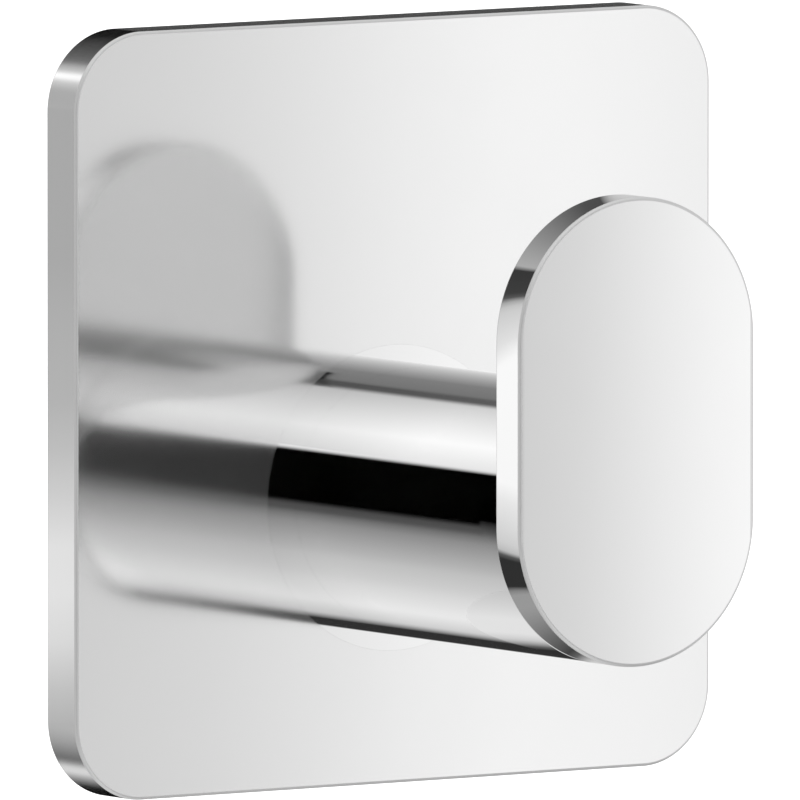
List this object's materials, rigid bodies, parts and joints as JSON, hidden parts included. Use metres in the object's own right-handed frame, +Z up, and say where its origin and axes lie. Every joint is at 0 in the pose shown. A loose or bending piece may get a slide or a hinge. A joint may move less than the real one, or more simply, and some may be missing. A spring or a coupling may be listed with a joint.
{
  "type": "towel hook",
  "caption": "Self-adhesive wall hook: a square plate with rounded corners, a thick round post with a flush foot, and an upright round-ended end plate that keeps a towel on the post.",
  "frame": {"origin": "centre of the adhesive tape's back face, which meets the wall", "axes": "+Z up, +X to the right seen from the room, +Y into the wall, so that the post stands out along -Y"},
  "size_m": [0.048, 0.0311, 0.048],
  "materials": {
    "plate_steel": "polished stainless steel, a little soft in its reflections",
    "mirror_steel": "mirror-polished stainless steel",
    "turned_steel": "turned stainless steel",
    "zinc_steel": "zinc-plated steel",
    "foam_tape": "dark acrylic foam tape"
  },
  "bodies": {
    "root": {"wall_plate": "plate_steel", "post": "mirror_steel", "end_plate": "mirror_steel", "threaded_boss": "turned_steel", "tie_screw": "zinc_steel", "plate_pin": "turned_steel", "end_pin": "turned_steel", "adhesive_tape": "foam_tape"}
  },
  "joints": []
}
